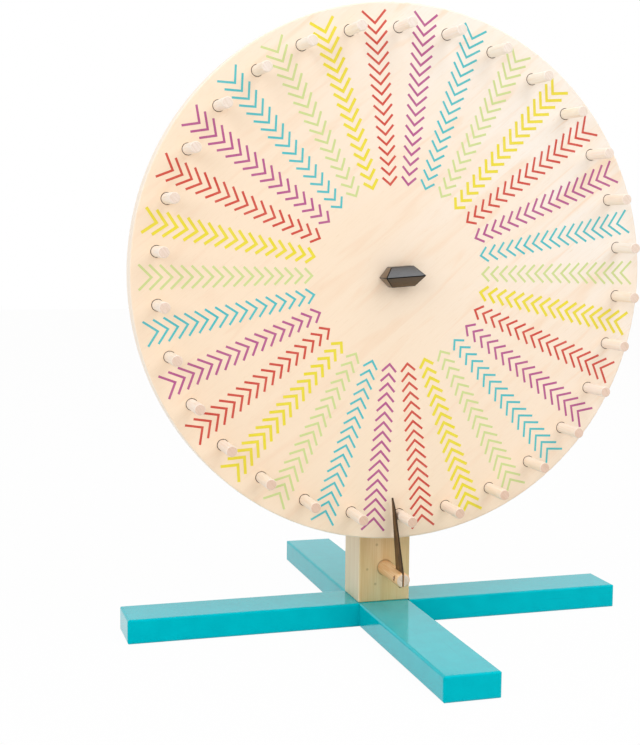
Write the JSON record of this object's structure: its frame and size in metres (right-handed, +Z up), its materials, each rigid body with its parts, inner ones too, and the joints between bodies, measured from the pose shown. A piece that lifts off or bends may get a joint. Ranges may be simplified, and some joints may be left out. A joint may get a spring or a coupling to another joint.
{
  "type": "prize wheel",
  "caption": "Tabletop prize wheel: a pegged wooden disc spins on a bolt through a post with a cross foot, and a springy flapper clicks against the pegs.",
  "frame": {"origin": "on the floor, under the middle of the cross foot and the axis of the post", "axes": "+Z up, -Y towards the front that the pegs and the knob face, +X to the right as seen from the front; the wheel turns about a line along Y"},
  "size_m": [0.4, 0.411, 0.4736],
  "materials": {
    "turquoise_paint": "glossy turquoise paint over solid wood",
    "pine": "bare planed pine",
    "birch_board": "smooth pale birch plywood, lightly lacquered, with printed chevrons",
    "peg_wood": "bare turned hardwood",
    "dowel_wood": "bare turned hardwood",
    "zinc_steel": "zinc plated",
    "bronze_bush": "plain sintered bronze",
    "brass_insert": "turned brass",
    "black_plastic": "polished black",
    "brown_leather": "stiff dark brown strap leather with burnished edges"
  },
  "bodies": {
    "stand": {"foot_bar_front_back": "turquoise_paint", "foot_bar_left_right": "turquoise_paint", "post": "pine", "base_screws": "zinc_steel", "axle_bolt": "zinc_steel", "back_washer": "zinc_steel", "clamp_washer": "zinc_steel", "clamp_nut": "zinc_steel", "axle_sleeve": "zinc_steel", "front_washer": "zinc_steel", "flapper_dowel": "dowel_wood", "flapper_pin": "brown_leather", "flapper_foot": "brown_leather"},
    "wheel": {"wheel_disc": "birch_board", "hub_bush": "bronze_bush", "peg_01": "peg_wood", "peg_02": "peg_wood", "peg_03": "peg_wood", "peg_04": "peg_wood", "peg_05": "peg_wood", "peg_06": "peg_wood", "peg_07": "peg_wood", "peg_08": "peg_wood", "peg_09": "peg_wood", "peg_10": "peg_wood", "peg_11": "peg_wood", "peg_12": "peg_wood", "peg_13": "peg_wood", "peg_14": "peg_wood", "peg_15": "peg_wood", "peg_16": "peg_wood", "peg_17": "peg_wood", "peg_18": "peg_wood", "peg_19": "peg_wood", "peg_20": "peg_wood", "peg_21": "peg_wood", "peg_22": "peg_wood", "peg_23": "peg_wood", "peg_24": "peg_wood", "peg_25": "peg_wood", "peg_26": "peg_wood", "peg_27": "peg_wood", "peg_28": "peg_wood", "peg_29": "peg_wood", "peg_30": "peg_wood"},
    "flapper": {"flapper_blade": "brown_leather"},
    "knob_thread": {"knob_insert": "brass_insert"},
    "knob": {"knob": "black_plastic"}
  },
  "joints": [
    {"name": "wheel_spin", "type": "hinge", "parent": "stand", "child": "wheel", "pos_m": [0, -0.0336, 0.2736], "axis": [0, 1, 0], "continuous": true},
    {"name": "flapper_flex", "type": "hinge", "parent": "stand", "child": "flapper", "pos_m": [0.0005, -0.0537, 0.0517], "axis": [0, 1, 0], "range_deg": [-60, 60], "stiffness_Nm_per_rad": 0.04, "deforming": ["flapper_blade"]},
    {"name": "knob_travel", "type": "slide", "parent": "stand", "child": "knob_thread", "axis": [0, -1, 0], "range_m": [0, 0.006]},
    {"name": "knob_turn", "type": "hinge", "parent": "knob_thread", "child": "knob", "pos_m": [0, -0.0429, 0.2736], "axis": [0, -1, 0], "range_deg": [0, 2160]}
  ],
  "couplings": [
    {"joint": "knob_turn", "follows": "knob_travel", "rad_per_m": 6283.2}
  ]
}
